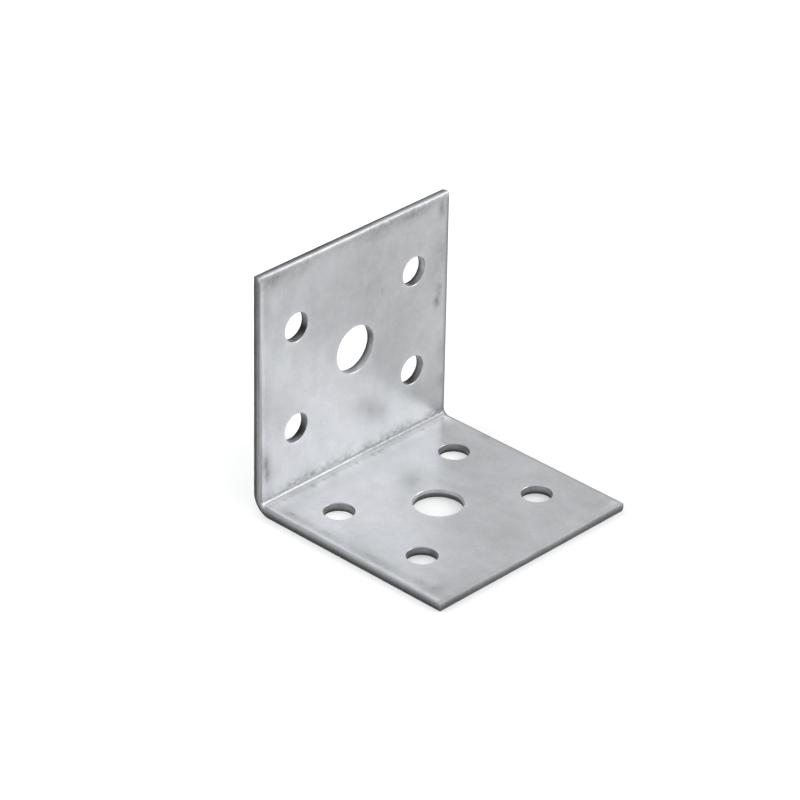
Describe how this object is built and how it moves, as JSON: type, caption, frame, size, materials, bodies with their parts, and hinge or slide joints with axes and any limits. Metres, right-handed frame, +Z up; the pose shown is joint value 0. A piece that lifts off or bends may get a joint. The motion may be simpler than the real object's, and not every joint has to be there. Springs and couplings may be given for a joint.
{
  "type": "angle bracket",
  "caption": "Right-angle steel bracket folded from one strip, with a large hole in the middle of each leg between small fixing holes.",
  "frame": {"origin": "under the middle of the bracket's box, on the surface that the base leg rests on", "axes": "+Z up along the upright leg, +X along the base leg from the fold to its free end, +Y across the strip"},
  "size_m": [0.0388, 0.04, 0.0403],
  "materials": {
    "galvanised_steel": "satin galvanised sheet with soft grey clouding and bright sheared edges"
  },
  "bodies": {
    "root": {"bracket": "galvanised_steel"}
  },
  "joints": []
}
